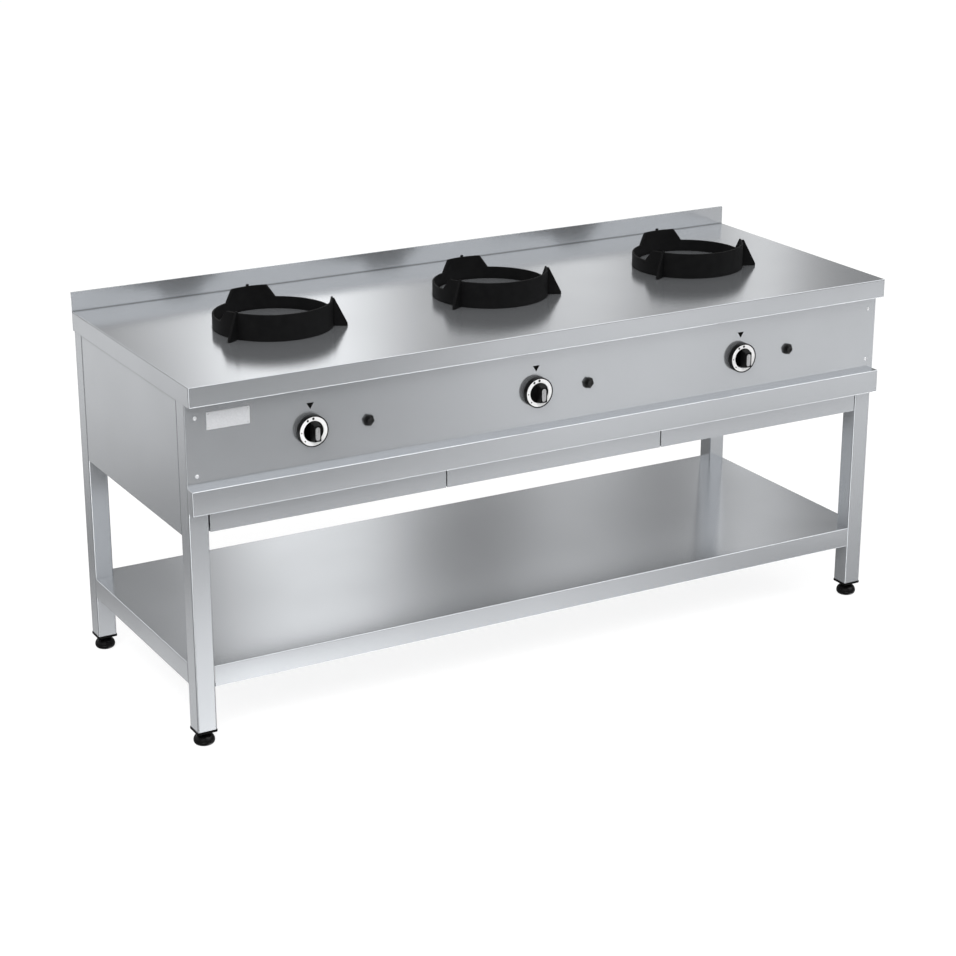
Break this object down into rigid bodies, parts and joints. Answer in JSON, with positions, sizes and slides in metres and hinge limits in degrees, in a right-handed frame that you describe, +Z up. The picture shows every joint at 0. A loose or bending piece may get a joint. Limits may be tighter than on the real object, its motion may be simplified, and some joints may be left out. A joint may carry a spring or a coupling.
{
  "type": "gas wok range",
  "caption": "Stainless gas wok range on an open stand: black wok rings on a folded worktop, push-and-turn knobs, push igniters, pull-out drip trays and a lower shelf.",
  "frame": {"origin": "on the floor, under the middle of the bounding box", "axes": "+X to the right along the worktop, +Y to the back, +Z up; the knobs face -Y"},
  "size_m": [1.6, 0.6112, 0.7895],
  "materials": {
    "stainless": "satin",
    "black_plastic": "satin black",
    "foot_plastic": "gloss black",
    "screw_steel": "plain",
    "plate": "matt foil",
    "zinc_sheet": "zinc plated",
    "ring_black": "matt black, fine texture",
    "burner_iron": "as cast",
    "copper": "drawn copper",
    "ceramic": "glazed",
    "brass": "machined",
    "pipe_steel": "grey coat",
    "dial_white": "satin white",
    "insert_silver": "brushed"
  },
  "bodies": {
    "stand": {"worktop": "stainless", "lower_shelf": "stainless", "control_panel": "stainless", "side_panel_left": "stainless", "side_panel_right": "stainless", "back_panel": "stainless", "leg_front_left": "stainless", "leg_front_right": "stainless", "leg_rear_left": "stainless", "leg_rear_right": "stainless", "leg_caps": "black_plastic", "igniter_bodies": "black_plastic", "igniter_nuts": "black_plastic", "panel_screws": "screw_steel", "rating_plate": "plate", "tray_runners": "zinc_sheet", "burner_hangers": "zinc_sheet", "manifold_brackets": "zinc_sheet", "burner_body_left": "burner_iron", "burner_body_middle": "burner_iron", "burner_body_right": "burner_iron", "burner_cap_left": "burner_iron", "burner_cap_middle": "burner_iron", "burner_cap_right": "burner_iron", "pilot_burners": "copper", "thermocouples": "copper", "spark_electrodes": "ceramic", "gas_valves": "brass", "supply_pipes": "brass", "injectors": "brass", "gas_manifold": "pipe_steel"},
    "push_left": {"stem_collar_left": "zinc_sheet"},
    "knob_left": {"valve_stem_left": "brass", "knob_left": "black_plastic", "dial_ring_left": "dial_white", "grip_insert_left": "insert_silver"},
    "push_middle": {"stem_collar_middle": "zinc_sheet"},
    "knob_middle": {"valve_stem_middle": "brass", "knob_middle": "black_plastic", "dial_ring_middle": "dial_white", "grip_insert_middle": "insert_silver"},
    "push_right": {"stem_collar_right": "zinc_sheet"},
    "knob_right": {"valve_stem_right": "brass", "knob_right": "black_plastic", "dial_ring_right": "dial_white", "grip_insert_right": "insert_silver"},
    "foot_front_left": {"foot_front_left": "foot_plastic"},
    "foot_front_right": {"foot_front_right": "foot_plastic"},
    "foot_rear_left": {"foot_rear_left": "foot_plastic"},
    "foot_rear_right": {"foot_rear_right": "foot_plastic"},
    "drip_tray_left": {"drip_tray_left": "stainless"},
    "drip_tray_middle": {"drip_tray_middle": "stainless"},
    "drip_tray_right": {"drip_tray_right": "stainless"},
    "wok_ring_left": {"wok_ring_left": "ring_black"},
    "wok_ring_middle": {"wok_ring_middle": "ring_black"},
    "wok_ring_right": {"wok_ring_right": "ring_black"},
    "igniter_button_left": {"igniter_button_left": "black_plastic"},
    "igniter_button_middle": {"igniter_button_middle": "black_plastic"},
    "igniter_button_right": {"igniter_button_right": "black_plastic"}
  },
  "joints": [
    {"name": "foot_front_left_level", "type": "slide", "parent": "stand", "child": "foot_front_left", "axis": [0, 0, -1], "range_m": [0, 0.015]},
    {"name": "foot_front_right_level", "type": "slide", "parent": "stand", "child": "foot_front_right", "axis": [0, 0, -1], "range_m": [0, 0.015]},
    {"name": "foot_rear_left_level", "type": "slide", "parent": "stand", "child": "foot_rear_left", "axis": [0, 0, -1], "range_m": [0, 0.015]},
    {"name": "foot_rear_right_level", "type": "slide", "parent": "stand", "child": "foot_rear_right", "axis": [0, 0, -1], "range_m": [0, 0.015]},
    {"name": "drip_tray_left_slide", "type": "slide", "parent": "stand", "child": "drip_tray_left", "axis": [0, -1, 0], "range_m": [0, 0.4]},
    {"name": "drip_tray_middle_slide", "type": "slide", "parent": "stand", "child": "drip_tray_middle", "axis": [0, -1, 0], "range_m": [0, 0.4]},
    {"name": "drip_tray_right_slide", "type": "slide", "parent": "stand", "child": "drip_tray_right", "axis": [0, -1, 0], "range_m": [0, 0.4]},
    {"name": "wok_ring_left_lift", "type": "slide", "parent": "stand", "child": "wok_ring_left", "axis": [0, 0, 1], "range_m": [0, 0.12]},
    {"name": "wok_ring_middle_lift", "type": "slide", "parent": "stand", "child": "wok_ring_middle", "axis": [0, 0, 1], "range_m": [0, 0.12]},
    {"name": "wok_ring_right_lift", "type": "slide", "parent": "stand", "child": "wok_ring_right", "axis": [0, 0, 1], "range_m": [0, 0.12]},
    {"name": "knob_left_push", "type": "slide", "parent": "stand", "child": "push_left", "axis": [0, 1, 0], "range_m": [0, 0.003], "stiffness_N_per_m": 1500},
    {"name": "knob_left_turn", "type": "hinge", "parent": "push_left", "child": "knob_left", "pos_m": [-0.545, -0.2741, 0.606], "axis": [0, -1, 0], "range_deg": [0, 270]},
    {"name": "igniter_left_push", "type": "slide", "parent": "stand", "child": "igniter_button_left", "axis": [0, 1, 0], "range_m": [0, 0.004], "stiffness_N_per_m": 2000},
    {"name": "knob_middle_push", "type": "slide", "parent": "stand", "child": "push_middle", "axis": [0, 1, 0], "range_m": [0, 0.003], "stiffness_N_per_m": 1500},
    {"name": "knob_middle_turn", "type": "hinge", "parent": "push_middle", "child": "knob_middle", "pos_m": [-0.05, -0.2741, 0.606], "axis": [0, -1, 0], "range_deg": [0, 270]},
    {"name": "igniter_middle_push", "type": "slide", "parent": "stand", "child": "igniter_button_middle", "axis": [0, 1, 0], "range_m": [0, 0.004], "stiffness_N_per_m": 2000},
    {"name": "knob_right_push", "type": "slide", "parent": "stand", "child": "push_right", "axis": [0, 1, 0], "range_m": [0, 0.003], "stiffness_N_per_m": 1500},
    {"name": "knob_right_turn", "type": "hinge", "parent": "push_right", "child": "knob_right", "pos_m": [0.445, -0.2741, 0.606], "axis": [0, -1, 0], "range_deg": [0, 270]},
    {"name": "igniter_right_push", "type": "slide", "parent": "stand", "child": "igniter_button_right", "axis": [0, 1, 0], "range_m": [0, 0.004], "stiffness_N_per_m": 2000}
  ]
}
